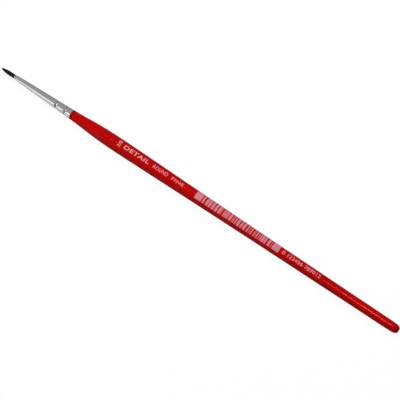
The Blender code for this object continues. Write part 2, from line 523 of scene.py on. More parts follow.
@dataclass(frozen=True)
class BrightMetal(Finish):
    """A drawn and polished tube that carries a "groove" attribute, 1 at the bottom of a crimp."""

    # the colour of the painted shade in the crimps
    groove_shade: Colour

    def varied(self, paint: Paint) -> Sockets:
        """Draw fine lines along the tube, tool rings in the crimps, painted shade in them and cloudy
        patches.
        """
        place = paint.place()
        groove = paint.carried("groove")
        drawn = paint.noise(place * (0.05, 1.0, 1.0), 9.0, 3.0, 0.6)
        rings = paint.noise(place * (1.0, 0.04, 0.04), 14.0, 2.0)
        cloud = paint.ramp(paint.noise(place * (0.5, 1.0, 1.0), 0.7, 3.0), 0.45, 0.70)
        deep = paint.ramp(groove, 0.35, 1.0)
        # Painted shade: dark, duller patches in the crimps' hollows.
        groove_shade_mask = deep * paint.ramp(paint.noise(place, 2.5, 4.0, 0.65), 0.16, 0.46)
        colour = paint.mix(cloud * 0.25 + drawn * 0.15, self.colour, tuple(0.82 * c for c in self.colour))
        relief = paint.bump(drawn, 0.0007 * MM)
        return {
            "Base Color": paint.mix(groove_shade_mask * 0.92, colour, self.groove_shade),
            "Metallic": 1 - groove_shade_mask * 0.6,
            "Roughness": self.roughness + cloud * 0.06 + drawn * 0.06 + groove_shade_mask * 0.30,
            "Normal": paint.bump(rings * deep, 0.004 * MM, relief),
        }


@dataclass(frozen=True)
class Birch(Finish):
    """Turned hardwood, with its grain along the handle."""

    late: Colour  # the darker bands of the grain
    pore: Colour

    def varied(self, paint: Paint) -> Sockets:
        """Lay grain bands, pores, rays and lathe rings over the pale wood."""
        place = paint.place()
        bands = paint.noise(place * (0.03, 1.0, 1.0), 1.1, 3.0, 0.6)
        pores = paint.ramp(paint.noise(place * (0.10, 1.0, 1.0), 7.0, 2.0), 0.60, 0.70)
        rings = paint.noise(place * (1.0, 0.05, 0.05), 5.0, 2.0)
        colour = paint.mix(paint.ramp(bands, 0.38, 0.64), self.colour, self.late)
        return {
            "Base Color": paint.mix(pores * 0.6, colour, self.pore),
            "Roughness": self.roughness + bands * 0.15 + pores * 0.10,
            "Normal": paint.bump(1 - pores, 0.02 * MM, paint.bump(rings, 0.008 * MM)),
        }


@dataclass(frozen=True)
class Cured(Finish):
    """A set liquid, such as wood glue or casting resin, with clouds, bubbles and a rippled skin."""

    cloud: Colour
    bubbles: float  # how much of the surface has bubbles, from 0 to 1
    ripple: float  # depth of the skin's ripples, in metres

    def varied(self, paint: Paint) -> Sockets:
        """Mix the clouds, the bubbles and the skin."""
        place = paint.place()
        clouds = paint.noise(place, 1.6, 4.0, 0.6)
        cells = paint.signal("ShaderNodeTexVoronoi", sockets={"Vector": place, "Scale": 5.0})
        bubble = (1 - paint.ramp(cells, 0.10, 0.24)) * self.bubbles
        colour = paint.mix(paint.ramp(clouds, 0.35, 0.70), self.colour, self.cloud)
        skin = paint.bump(paint.noise(place, 2.8, 3.0), self.ripple)
        return {
            "Base Color": paint.mix(bubble * 0.5, colour, tuple(0.5 * c for c in self.colour)),
            "Roughness": self.roughness + clouds * 0.12 + bubble * 0.25,
            "Normal": paint.bump(1 - bubble, 0.015 * MM, skin),
        }


@dataclass(frozen=True)
class Twine(Finish):
    """Twisted cotton that carries a "strand" attribute, 0 in the furrows between its strands."""

    # the colour of the painted shade in the furrows between the strands
    furrow_shade: Colour

    def varied(self, paint: Paint) -> Sockets:
        """Paint shade into the furrows and roughen the fibres."""
        place = paint.place()
        strand = paint.carried("strand")
        fibre = paint.noise(place, 30.0, 3.0, 0.7)
        # Painted shade: the furrows are darkened.
        colour = paint.mix(paint.ramp(strand, 0.0, 0.6), self.furrow_shade, self.colour)
        return {
            "Base Color": paint.mix(fibre * 0.35, colour, self.furrow_shade),
            "Roughness": self.roughness + fibre * 0.12,
            "Normal": paint.bump(fibre, 0.006 * MM),
        }


@dataclass(frozen=True)
class Filament(Finish):
    """Fine hair that carries "along", 0 at the ferrule and 1 at the point, and "strand", its own shade."""

    middle: Colour
    point: Colour

    def fixed(self) -> Sockets:
        """Keep the shine of the hair low."""
        return {"Specular IOR Level": 0.25}

    def varied(self, paint: Paint) -> Sockets:
        """Run from the root's brown to the point's black, with a shade of its own for each hair."""
        along = paint.carried("along")
        strand = paint.carried("strand")
        stops = [(0.0, self.colour), (0.38, self.middle), (0.85, self.point)]
        ramp = paint.signal("ShaderNodeValToRGB", {"stops": stops}, {"Fac": along + (strand - 0.5) * 0.25})
        scales = paint.noise(paint.place() * (1.0, 0.3, 0.3), 22.0, 2.0)
        return {
            "Base Color": paint.mix(strand * 0.55, ramp, tuple(0.35 * c for c in self.colour)),
            "Roughness": self.roughness + strand * 0.12 + scales * 0.10,
            "Normal": paint.bump(scales, 0.001 * MM),
        }


@dataclass(frozen=True)
class Ink(Finish):
    """A pale printed film, a little thin where the coat below was uneven."""

    thin: Colour

    def fixed(self) -> Sockets:
        """Keep the film less glossy than the coat."""
        return {"Specular IOR Level": 0.15}

    def varied(self, paint: Paint) -> Sockets:
        """Let the ink run thin in patches and give it a grainy skin."""
        place = paint.place()
        cover = paint.noise(place, 1.5, 4.0, 0.65)
        grain = paint.noise(place, 12.0, 2.0)
        return {
            "Base Color": paint.mix(paint.ramp(cover, 0.48, 0.72) * 0.7, self.colour, self.thin),
            "Roughness": self.roughness + grain * 0.15,
            "Normal": paint.bump(grain, 0.002 * MM),
        }


class Shade(Enum):
    """The object's colours, linear."""

    RED = (0.60, 0.0012, 0.0010)
    # DEEP_RED: the grain's dark bands, and the painted shade at the coat's ends
    DEEP_RED = (0.27, 0.0005, 0.0006)
    RUBBED_RED = (0.66, 0.03, 0.02)
    METAL = (0.84, 0.84, 0.83)
    # painted shade in the crimps of the ferrule
    GROOVE_SHADE = (0.05, 0.045, 0.04)
    BIRCH = (0.66, 0.47, 0.27)
    LATE_BIRCH = (0.50, 0.31, 0.15)
    PORE = (0.20, 0.11, 0.05)
    GLUE = (0.75, 0.66, 0.42)
    GLUE_CLOUD = (0.84, 0.78, 0.60)
    RESIN = (0.42, 0.22, 0.06)
    RESIN_CLOUD = (0.30, 0.13, 0.03)
    COTTON = (0.70, 0.66, 0.56)
    COTTON_SHADE = (0.30, 0.26, 0.19)
    HAIR_ROOT = (0.052, 0.022, 0.015)
    HAIR_MIDDLE = (0.013, 0.011, 0.005)
    HAIR_POINT = (0.004, 0.004, 0.003)
    INK = (0.84, 0.38, 0.39)
    INK_THIN = (0.76, 0.22, 0.24)
    FIELD_INK = (0.76, 0.26, 0.31)
    FIELD_INK_THIN = (0.70, 0.18, 0.23)


# --- Shapes taken from the frame -----------------------------------------------------------------------


@dataclass(frozen=True)
class Outline:
    """Half of a turned node's section: points (along X, from the axis), in order."""

    points: list[Point]
    closed: bool

    @classmethod
    def of(cls, node: str, axis: float) -> Outline:
        """Read the outline of a turned CAD node along one row of its corners.

        Args:
            node: The node's name.
            axis: Height of the turning axis.

        Returns:
            The outline, closed if the node is a ring and from pole to pole if it isn't.
        """
        shape = bmesh.new()
        shape.from_mesh(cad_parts[node].data)
        bmesh.ops.remove_doubles(shape, verts=shape.verts, dist=WELD)
        rim = max(shape.verts, key=lambda corner: math.hypot(corner.co.y, corner.co.z - axis))
        aim = Vector((rim.co.y, rim.co.z - axis)).normalized()
        row = {}
        for corner in shape.verts:
            place = Vector((corner.co.y, corner.co.z - axis))
            if abs(place.cross(aim)) < 2 * WELD and place.dot(aim) > 0:
                row[corner] = (corner.co.x, place.dot(aim))
        links = {
            corner: [e.other_vert(corner) for e in corner.link_edges if e.other_vert(corner) in row]
            for corner in row
        }
        ends = [corner for corner in row if len(links[corner]) == 1]
        here = ends[0] if ends else rim
        walked = [here]
        while True:
            ahead = [corner for corner in links[here] if corner not in walked]
            if not ahead:
                break
            here = ahead[0]
            walked.append(here)
        points = [row[corner] for corner in walked]
        shape.free()
        if ends:
            points = [(points[0][0], 0.0), *points, (points[-1][0], 0.0)]
        return cls(points, closed=not ends)

    def smoothed(self, step: float, corner: float = math.radians(60)) -> Outline:
        """Draw a smooth curve through the points and keep the sharp corners.

        Args:
            step: The longest distance between two new points.
            corner: A point where the outline turns by more than this stays sharp.

        Returns:
            The finer outline. A closed one ends on its first point.
        """
        line = [Vector(point) for point in self.points]
        count = len(line)

        def at(index: int) -> Vector | None:
            """Give a point, or None past the end of an open outline."""
            if self.closed:
                return line[index % count]
            return line[index] if 0 <= index < count else None

        def sharp(index: int) -> bool:
            """Tell whether the outline has a corner or an end at a point."""
            before, here, after = at(index - 1), at(index), at(index + 1)
            return before is None or after is None or (here - before).angle(after - here) > corner

        fine = []
        for index in range(count if self.closed else count - 1):
            start, end = at(index), at(index + 1)
            before = start * 2 - end if sharp(index) else at(index - 1)
            after = end * 2 - start if sharp(index + 1) else at(index + 2)
            steps = max(3, math.ceil((end - start).length / step))
            fine += [tuple(through(before, start, end, after, i / steps)) for i in range(steps)]
        fine.append(tuple(at(count)) if self.closed else tuple(line[-1]))
        return Outline(fine, self.closed)

    def widest_at(self, along: float) -> float:
        """Give the outer radius at a place along X."""
        found = 0.0
        for (x0, r0), (x1, r1) in zip(self.points, self.points[1:]):
            if min(x0, x1) <= along <= max(x0, x1) and x0 != x1:
                found = max(found, r0 + (r1 - r0) * (along - x0) / (x1 - x0))
        return found


def through(before: Vector, start: Vector, end: Vector, after: Vector, share: float) -> Vector:
    """Find a point on the centripetal Catmull-Rom curve from start to end.

    Args:
        before: The curve's point ahead of start.
        start: Where the stretch starts.
        end: Where it ends.
        after: The curve's point past end.
        share: How far along the stretch, from 0 to 1.

    Returns:
        The point.
    """
    knots = [0.0]
    for one, two in ((before, start), (start, end), (end, after)):
        knots.append(knots[-1] + math.sqrt((two - one).length))
    t = knots[1] + (knots[2] - knots[1]) * share

    def between(one: Vector, two: Vector, low: int, high: int) -> Vector:
        """Blend two points by where the curve's place lies between two knots."""
        return one.lerp(two, (t - knots[low]) / (knots[high] - knots[low]))

    first = between(before, start, 0, 1)
    second = between(start, end, 1, 2)
    third = between(end, after, 2, 3)
    return between(between(first, second, 0, 2), between(second, third, 1, 3), 1, 2)


@dataclass(frozen=True)
class Turning:
    """Makes a turned piece from its outline."""

    axis: float
    sides: int = 144
    step: float = 0.9 * MM  # longest distance between two points of the outline
    edge: float = math.radians(40)  # faces that meet at more than this keep a sharp edge

    def make(
        self, name: str, outline: Outline, material: bpy.types.Material, grooves: list[float] | None = None
    ) -> bpy.types.Object:
        """Turn an outline about the axis.

        Args:
            name: The piece's name.
            outline: The piece's outline, already smooth.
            material: The piece's finish.
            grooves: For each point of the outline, how deep in a groove it lies, from 0 to 1.

        Returns:
            The closed piece.
        """
        depths = grooves or [0.0] * len(outline.points)
        line = bpy.data.meshes.new(name + "_outline")
        line.from_pydata([(*point, depth) for point, depth in zip(outline.points, depths)], [], [])
        holder = show(name + "_outline", line)
        recipe = Recipe("turning")
        rows = recipe.given("Rows", len(outline.points))
        sides = recipe.given("Sides", self.sides)
        axis = recipe.given("Axis Height", self.axis)
        drawn = recipe.shape_of(recipe.given("Outline", holder))
        sockets = {"Size X": 1.0, "Size Y": 1.0, "Vertices X": rows, "Vertices Y": sides + 1}
        sheet = recipe.signal("GeometryNodeMeshGrid", sockets=sockets)
        place = recipe.where()
        down, across, _ = place.parts()
        row = ((down + 0.5) * (rows - 1)).apply("ROUND")
        turn = (across + 0.5) * math.tau
        found = recipe.signal(
            "GeometryNodeSampleIndex",
            {"data_type": "FLOAT_VECTOR", "domain": "POINT"},
            {"Geometry": drawn, "Value": place, "Index": row},
        )
        along, radius, depth = found.parts()
        spot = recipe.vector(along, radius * turn.apply("SINE"), axis + radius * turn.apply("COSINE"))
        bent = recipe.move(recipe.store(sheet, "groove", depth), spot)
        shut = recipe.signal("GeometryNodeMergeByDistance", sockets={"Geometry": bent, "Distance": WELD})
        piece = recipe.cast(name, shut, material)
        bpy.data.objects.remove(holder)
        face_outwards(piece.data)
        piece.data.shade_smooth()
        piece.data.set_sharp_from_angle(angle=self.edge)
        return piece


def face_outwards(mesh: bpy.types.Mesh) -> None:
    """Turn a closed mesh whose faces point inwards."""
    shape = bmesh.new()
    shape.from_mesh(mesh)
    if shape.calc_volume(signed=True) < 0:
        bmesh.ops.reverse_faces(shape, faces=shape.faces)
        shape.to_mesh(mesh)
    shape.free()


def settle(piece: bpy.types.Object, slot: str, *nodes: str) -> None:
    """Put a finished piece on the brush.

    Args:
        piece: The piece.
        slot: The record's material slot for the piece's finish. It is not used.
        nodes: The CAD nodes that it stands for.
    """
    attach(piece, BODY)
    if nodes:
        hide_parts(*nodes)
    faces = sum(len(face.vertices) - 2 for face in piece.data.polygons)
    log.info("%s: %d triangles, stands for %s", piece.name, faces, ", ".join(nodes) or "no node")


# --- The brush's sub-assemblies ------------------------------------------------------------------------


@dataclass
class Handle:
    """The turned blank and the lacquer coat over it."""

    axis: float
    coat_node: str = "handle_lacquer"
    wood_node: str = "handle_wood"

    def build(self, turning: Turning) -> bpy.types.Object:
        """Make the coat and dress the wood.

        Args:
            turning: What turns the coat.

        Returns:
            The coat.
        """
        low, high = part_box(self.coat_node)
        coat = Lacquer(
            "red_lacquer_coat",
            Shade.RED.value,
            0.10,
            shade=Shade.DEEP_RED.value,
            worn=Shade.RUBBED_RED.value,
            gloss=0.045,
            shoulder=low.x / MM,
            butt=high.x / MM,
        )
        outline = Outline.of(self.coat_node, self.axis).smoothed(turning.step)
        piece = turning.make("lacquer_coat", outline, coat.material())
        settle(piece, "red_lacquer", self.coat_node)
        birch = Birch("turned_birch", Shade.BIRCH.value, 0.5, Shade.LATE_BIRCH.value, Shade.PORE.value)
        birch.dress(self.wood_node)
        return piece


@dataclass
class Ferrule:
    """The crimped tube, and the glue that holds the tenon in it."""

    axis: float
    tube_node: str = "ferrule"
    glue_node: str = "tenon_glue"
    lip: float = 1.0 * MM  # the front stretch that the taper's first radius is read from
    rim: float = 0.2 * MM  # the rear stretch that its last radius is read from

    def build(self, turning: Turning) -> None:
        """Make the tube and dress the glue.

        Args:
            turning: What turns the tube.
        """
        outline = Outline.of(self.tube_node, self.axis).smoothed(turning.step)
        metal = BrightMetal("drawn_bright_metal", Shade.METAL.value, 0.10, groove_shade=Shade.GROOVE_SHADE.value)
        tube = turning.make("ferrule_tube", outline, metal.material(), self.grooves(outline))
        settle(tube, "ferrule_metal", self.tube_node)
        cloud = Shade.GLUE_CLOUD.value
        glue = Cured("dried_glue", Shade.GLUE.value, 0.4, cloud, bubbles=0.6, ripple=0.01 * MM)
        glue.dress(self.glue_node)

    def grooves(self, outline: Outline) -> list[float]:
        """Measure how far each point of the tube lies in from its straight taper.

        Args:
            outline: The tube's outline.

        Returns:
            A depth for each point, 1 at the deepest.
        """
        front, back = min(outline.points), max(outline.points)
        first = max(r for x, r in outline.points if x < front[0] + self.lip)
        last = max(r for x, r in outline.points if x > back[0] - self.rim)
        slope = (last - first) / (back[0] - front[0])
        dips = [max(0.0, first + slope * (x - front[0]) - outline.widest_at(x)) for x, _ in outline.points]
        deepest = max(dips)
        return [dip / deepest for dip in dips]


@dataclass
class Tuft:
    """The hairs, and what holds their roots inside the ferrule."""

    axis: float
    hairs: int = 300
    stations: int = 22  # points along a hair
    facets: int = 6
    thickness: float = 0.066 * MM  # in the ferrule: a hair is thickest at the tuft's belly
    fineness: float = 0.20  # a hair's point, as a share of its thickness
    blunt: float = 0.13 * MM  # the bundle's least radius, which tells only at the very point
    shortfall: float = 0.04  # how much shorter the outermost hairs may be
    twist: float = 0.22  # turn of the bundle between the ferrule and the point, in radians
    stray: float = 0.045 * MM  # how far a hair bows out of line
    straying: Point = (0.02, 0.35)  # where the bowing starts and is full, as shares of the free length
    seed: int = 11
    turns: int = 5  # of the thread
    strands: int = 3  # that the thread is twisted from
    lay: float = 3.4  # how far along the thread they go round once, in its thicknesses
    lobe: float = 0.14  # half the depth of the furrows between them, as a share of its radius
    slimness: float = 0.9 / 19  # the thread's thickness, as a share of the winding's width
    overhang: float = 0.7  # the CAD thread's thickness, in pitches, about
    thread_steps: int = 72  # points of the thread to a turn
    thread_corners: int = 18  # and of its section
    thread_node: str = "binding_thread"
    resin_node: str = "resin_plug"

    def build(self) -> None:
        """Make the hairs and the thread, and dress the resin."""
        hair = Filament(
            "dark_filament", Shade.HAIR_ROOT.value, 0.34, Shade.HAIR_MIDDLE.value, Shade.HAIR_POINT.value
        )
        locks = sorted(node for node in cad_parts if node.startswith("hair_"))
        settle(self.hair(hair.material(), locks), "dark_hair", *locks)
        twine = Twine("twisted_cotton", Shade.COTTON.value, 0.75, Shade.COTTON_SHADE.value)
        settle(self.thread(twine.material()), "binding_thread", self.thread_node)
        cloud = Shade.RESIN_CLOUD.value
        resin = Cured("amber_resin", Shade.RESIN.value, 0.12, cloud, bubbles=0.3, ripple=0.006 * MM)
        resin.dress(self.resin_node)

    def envelope(self, locks: list[str], mouth: float, tip: float) -> list[Point]:
        """Find the outer outline of the CAD locks in front of the ferrule.

        Args:
            locks: The hair nodes.
            mouth: Where the free hair starts, along X.
            tip: Where it ends.

        Returns:
            Points (share of the free length, radius), on a line that only bends outwards.
        """
        corners = []
        for lock in locks:
            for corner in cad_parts[lock].data.vertices:
                share = (mouth - corner.co.x) / (mouth - tip)
                if share > -0.01:
                    corners.append((max(share, 0.0), math.hypot(corner.co.y, corner.co.z - self.axis)))
        hull: list[Point] = []
        for corner in sorted(corners):
            while len(hull) > 1 and turns_up(hull[-2], hull[-1], corner):
                hull.pop()
            if hull and corner[0] - hull[-1][0] < 1e-4:
                hull[-1] = max(hull[-1], corner, key=lambda point: point[1])
            else:
                hull.append(corner)
        return hull

    def hair(self, material: bpy.types.Material, locks: list[str]) -> bpy.types.Object:
        """Make the tuft, one tapered strand for each hair.

        Args:
            material: The hair's finish.
            locks: The CAD nodes that it stands for.

        Returns:
            The tuft.
        """
        tip, root_x = (corner.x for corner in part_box("hair_core"))
        mouth_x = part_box("ferrule")[0].x
        profile = self.envelope(locks, mouth_x, tip)
        widest = max(radius for _, radius in profile)
        recipe = Recipe("hairs")
        count = recipe.given("Hairs", self.hairs)
        stations = recipe.given("Stations", self.stations)
        facets = recipe.given("Facets", self.facets)
        seed = recipe.given("Seed", self.seed)
        axis = recipe.given("Axis Height", self.axis)
        root = recipe.given("Root", root_x)
        mouth = recipe.given("Mouth", mouth_x)
        reach = recipe.given("Free Length", mouth_x - tip)
        girth = recipe.given("Widest Radius", widest)
        thick = recipe.given("Hair Thickness", self.thickness)

        line = recipe.signal("GeometryNodeCurvePrimitiveLine")
        strand = recipe.signal("GeometryNodeResampleCurve", sockets={"Curve": line, "Count": stations})
        points = recipe.signal("GeometryNodePoints", sockets={"Count": count})
        sockets = {"Points": points, "Instance": strand}
        bundle = recipe.signal("GeometryNodeInstanceOnPoints", sockets=sockets)
        bundle = recipe.signal("GeometryNodeRealizeInstances", sockets={0: bundle})

        number = (recipe.signal("GeometryNodeInputIndex") / stations + 0.25 / self.stations).apply("FLOOR")
        own = recipe.signal("FunctionNodeRandomValue", sockets={"ID": number, "Seed": seed}, output=1)
        other = recipe.signal("FunctionNodeRandomValue", sockets={"ID": number, "Seed": seed + 1}, output=1)
        rank = ((number + 0.5) / count).apply("SQRT")
        share = recipe.signal("GeometryNodeSplineParameter", output="Factor")
        length = reach * (1 - rank * (0.35 + own * 0.65) * self.shortfall)
        along = root - share * (root - mouth + length)
        free = recipe.signal("ShaderNodeClamp", sockets={"Value": (mouth - along) / reach})
        shape = [(at, radius / widest) for at, radius in profile]
        edge = recipe.signal("ShaderNodeFloatCurve", {"curve": shape}, {"Value": free}) * girth
        edge = edge.apply("MAXIMUM", self.blunt)
        fade = (edge / profile[0][1]).apply("MAXIMUM", self.fineness)
        waver = recipe.signal(
            "ShaderNodeTexNoise",
            {"noise_dimensions": "2D"},
            {"Vector": recipe.vector(number * 7.3, free * 1.6), "Scale": 1.0, "Detail": 1.0},
        )
        bow = (waver - 0.5) * self.stray * recipe.ramp(free, *self.straying) * fade * 2
        away = rank * (edge - thick / 2 * fade) + bow
        turn = number * GOLDEN_TURN + free * self.twist * (0.5 + other)
        spot = recipe.vector(along, away * turn.apply("SINE"), axis + away * turn.apply("COSINE"))

        marked = recipe.store(recipe.store(bundle, "along", free), "strand", own)
        slim = thick / 2 * fade * (0.85 + other * 0.3)
        hair = recipe.sweep(recipe.move(marked, spot), recipe.ring(facets), slim)
        piece = recipe.cast("hair_tuft", hair, material)
        face_outwards(piece.data)
        piece.data.shade_smooth()
        return piece

    def thread(self, material: bpy.types.Material) -> bpy.types.Object:
        """Wind the thread that binds the hair roots.

        Args:
            material: The thread's finish.

        Returns:
            The thread.
        """
        low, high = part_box(self.thread_node)
        pitch = (high.x - low.x) / (self.turns + self.overhang)
        width = high.z - low.z
        recipe = Recipe("winding")
        thick = recipe.given("Thread Thickness", self.slimness * width)
        reach = width / 2 - thick / 2
        sockets = {
            "Resolution": self.thread_steps,
            "Rotations": float(self.turns),
            "Start Radius": reach,
            "End Radius": reach,
            "Height": pitch * self.turns,
        }
        coil = recipe.signal("GeometryNodeCurveSpiral", sockets=sockets)
        laid = recipe.signal(
            "GeometryNodeTransform",
            sockets={
                "Geometry": coil,
                "Translation": (low.x + pitch * self.overhang / 2, 0.0, self.axis),
                "Rotation": (0.0, math.pi / 2, 0.0),
            },
        )
        run = recipe.signal("GeometryNodeSplineParameter", output="Length")
        tilt = run / thick * (math.tau / self.lay)
        twisted = recipe.signal("GeometryNodeSetCurveTilt", sockets={"Curve": laid, "Tilt": tilt})
        step = recipe.signal("GeometryNodeInputIndex")
        wave = (step * (math.tau * self.strands / self.thread_corners)).apply("COSINE")
        spot = recipe.where() * (1 - self.lobe + wave * self.lobe)
        lobed = recipe.move(recipe.ring(self.thread_corners), spot)
        marked = recipe.store(lobed, "strand", 0.5 + wave * 0.5)
        piece = recipe.cast("binding_turns", recipe.sweep(twisted, marked, thick / 2), material)
        face_outwards(piece.data)
        piece.data.shade_smooth()
        return piece


def turns_up(first: Point, second: Point, third: Point) -> bool:
    """Tell whether a path bends upwards, or not at all, at its second point."""
    one = (second[0] - first[0], second[1] - first[1])
    two = (third[0] - first[0], third[1] - first[1])
    return one[0] * two[1] - one[1] * two[0] >= 0


@dataclass(frozen=True)
class Mark:
    """One printed word or number: its text, and its box on the unrolled surface."""

    name: str
    text: str
    start: float  # behind the coat's front edge
    end: float
    height: float
    turn: float = math.radians(19)  # its middle, from the top towards +Y
    weight: float = 0.0  # thickens the strokes, in text heights
    spacing: float = 1.0
    upended: bool = False


@dataclass
class Printing:
    """The marks printed on the handle, as thin ink films that follow the coat."""

    axis: float
    coat: bpy.types.Object
    sunk: float = 0.006 * MM  # how deep the film's underside lies in the coat
    proud: float = 0.012 * MM  # how far its face stands out
    cut: float = 0.18 * MM  # longest stretch of film without a bend
    bars: int = 31
    seed: int = 8
    field_start: float = 56.75 * MM
    field_end: float = 93.45 * MM
    field_low: float = math.radians(-17)
    field_high: float = math.radians(100)
    block: float = 12.0  # length of the solid block at either end, in the thinnest bar's widths
    marks: tuple[Mark, ...] = (
        Mark("size_mark", "2/0", 21.75 * MM, 23.0 * MM, 2.75 * MM, upended=True, weight=0.01),
        Mark("word_detail", "DETAIL", 24.6 * MM, 35.7 * MM, 1.60 * MM, weight=0.02, spacing=1.08),
        Mark("word_round", "ROUND", 37.7 * MM, 44.1 * MM, 1.50 * MM, spacing=1.08),
        Mark("word_fine", "FINE", 46.0 * MM, 51.2 * MM, 1.20 * MM, spacing=1.12),
        Mark("digit_line", "0 123456 789012", 94.9 * MM, 111.1 * MM, 1.45 * MM, spacing=1.08),
    )

    def __post_init__(self) -> None:
        """Find the coat's front edge and its outline."""
        self.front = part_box("handle_lacquer")[0].x
        self.outline = Outline.of("handle_lacquer", self.axis)

    def build(self) -> None:
        """Print every mark."""
        ink = Ink("pale_ink", Shade.INK.value, 0.35, Shade.INK_THIN.value).material()
        for mark in self.marks:
            settle(self.word(mark, ink), "print_ink")
        field = Ink("field_ink", Shade.FIELD_INK.value, 0.35, Shade.FIELD_INK_THIN.value).material()
        settle(self.stripes(field), "print_ink")

    def word(self, mark: Mark, ink: bpy.types.Material) -> bpy.types.Object:
        """Print a word or a number.

        Args:
            mark: What it says, and where.
            ink: Its finish.

        Returns:
            The film.
        """
        text = bpy.data.curves.new(mark.name, "FONT")
        text.body = mark.text
        text.extrude = 0.1  # any depth: the film's own is set below
        text.offset = mark.weight
        text.space_character = mark.spacing
        holder = show(mark.name, text)
        flat = as_mesh(holder)
        bpy.data.objects.remove(holder)
        if mark.upended:
            flat.transform(Matrix.Rotation(math.pi / 2, 4, "Z"))
        corners = [corner.co for corner in flat.vertices]
        low = Vector(map(min, zip(*corners)))
        size = Vector(map(max, zip(*corners))) - low
        wanted = Vector((mark.end - mark.start, mark.height, self.sunk + self.proud))
        scale = Matrix.Diagonal([want / have for want, have in zip(wanted, size)]).to_4x4()
        target = Vector((self.front + mark.start, -mark.height / 2, -self.sunk))
        flat.transform(Matrix.Translation(target) @ scale @ Matrix.Translation(-low))
        self.crease(flat, mark.height)
        recipe = Recipe("wrap")
        girth = self.outline.widest_at(self.front + (mark.start + mark.end) / 2)
        wrapped = self.wrap(recipe, recipe.base(), girth, mark.turn)
        piece = recipe.cast(mark.name, wrapped, ink, flat)
        face_outwards(piece.data)
        return piece

    def crease(self, flat: bpy.types.Mesh, height: float) -> None:
        """Weld a flat film and cut it along X, so that it can bend round the handle.

        Args:
            flat: The film, with its middle at Y = 0.
            height: Its size along Y.
        """
        shape = bmesh.new()
        shape.from_mesh(flat)
        bmesh.ops.remove_doubles(shape, verts=shape.verts, dist=WELD)
        strips = math.ceil(height / self.cut)
        for strip in range(1, strips):
            level = height * (strip / strips - 0.5)
            whole = [*shape.verts, *shape.edges, *shape.faces]
            bmesh.ops.bisect_plane(shape, geom=whole, plane_co=(0, level, 0), plane_no=(0, 1, 0), dist=WELD)
        shape.to_mesh(flat)
        shape.free()

    def wrap(self, recipe: Recipe, film: Signal, girth: float, turn: float) -> Signal:
        """Lay a flat film on the coat.

        Args:
            recipe: The tree that the film is made in.
            film: The film, with its Y going round the handle and its Z out of the surface.
            girth: The handle's radius there.
            turn: Where Y = 0 goes, from the top towards +Y.

        Returns:
            The film on the coat.
        """
        axis = recipe.given("Axis Height", self.axis)
        radius = recipe.given("Radius", girth)
        middle = recipe.given("Middle Turn", turn)
        coat = recipe.shape_of(recipe.given("Coat", self.coat))
        along, across, out = recipe.where().parts()
        angle = middle + across / radius
        aim = recipe.vector(0.0, angle.apply("SINE"), angle.apply("COSINE"))
        start = recipe.vector(along, 0.0, axis) + aim * (radius * 2)
        sockets = {
            "Target Geometry": coat,
            "Source Position": start,
            "Ray Direction": aim * -1,
            "Ray Length": radius * 2,
        }
        hit = recipe.signal("GeometryNodeRaycast", sockets=sockets, output="Hit Position")
        return recipe.move(film, hit + aim * out)

    def stripes(self, ink: bpy.types.Material) -> bpy.types.Object:
        """Print the striped field: bars of random width with a solid block at either end.

        Args:
            ink: Its finish.

        Returns:
            The film.
        """
        girth = self.outline.widest_at(self.front + (self.field_start + self.field_end) / 2)
        height = girth * (self.field_high - self.field_low)
        film = self.sunk + self.proud
        recipe = Recipe("striped_field")
        bars = recipe.given("Bars", self.bars)
        seed = recipe.given("Seed", self.seed)
        left = recipe.given("Field Start", self.front + self.field_start)
        length = recipe.given("Field Length", self.field_end - self.field_start)
        index = recipe.signal("GeometryNodeInputIndex")
        first = recipe.signal("ShaderNodeMath", {"operation": "LESS_THAN"}, {0: index, 1: 0.5})
        last = recipe.signal("ShaderNodeMath", {"operation": "GREATER_THAN"}, {0: index, 1: bars - 1.5})

        def width(shift: int, top: int) -> Signal:
            """Draw a width for each bar, in whole widths of the thinnest, up to a top one."""
            sockets = {4: 1, 5: top, "ID": index, "Seed": seed + shift}
            return recipe.signal("FunctionNodeRandomValue", {"data_type": "INT"}, sockets, 2)

        def summed(values: Signal, output: str) -> Signal:
            """Add up a value over the bars: Trailing, of those before each one, or Total."""
            settings = {"data_type": "FLOAT", "domain": "POINT"}
            return recipe.signal("GeometryNodeAccumulateField", settings, {0: values}, output)

        bar = width(0, 4) * (1 - first - last) + (first + last) * self.block
        pitch = bar + width(1, 3)
        start = summed(pitch, "Trailing")
        module = length / summed(pitch - last * (pitch - bar), "Total")
        spot = recipe.vector(left + (start + bar / 2) * module, 0.0, (self.proud - self.sunk) / 2)
        loose = recipe.signal("GeometryNodePoints", sockets={"Count": bars})
        points = recipe.move(loose, spot)
        sockets = {
            "Size": (1.0, height, film),
            "Vertices X": 2,
            "Vertices Y": math.ceil(height / self.cut) + 1,
            "Vertices Z": 2,
        }
        cube = recipe.signal("GeometryNodeMeshCube", sockets=sockets)
        sized = recipe.signal(
            "GeometryNodeInstanceOnPoints",
            sockets={"Points": points, "Instance": cube, "Scale": recipe.vector(bar * module, 1.0, 1.0)},
        )
        solid = recipe.signal("GeometryNodeRealizeInstances", sockets={0: sized})
        middle = (self.field_low + self.field_high) / 2
        piece = recipe.cast("stripe_field", self.wrap(recipe, solid, girth, middle), ink)
        face_outwards(piece.data)
        return piece


# --- The studio ----------------------------------------------------------------------------------------


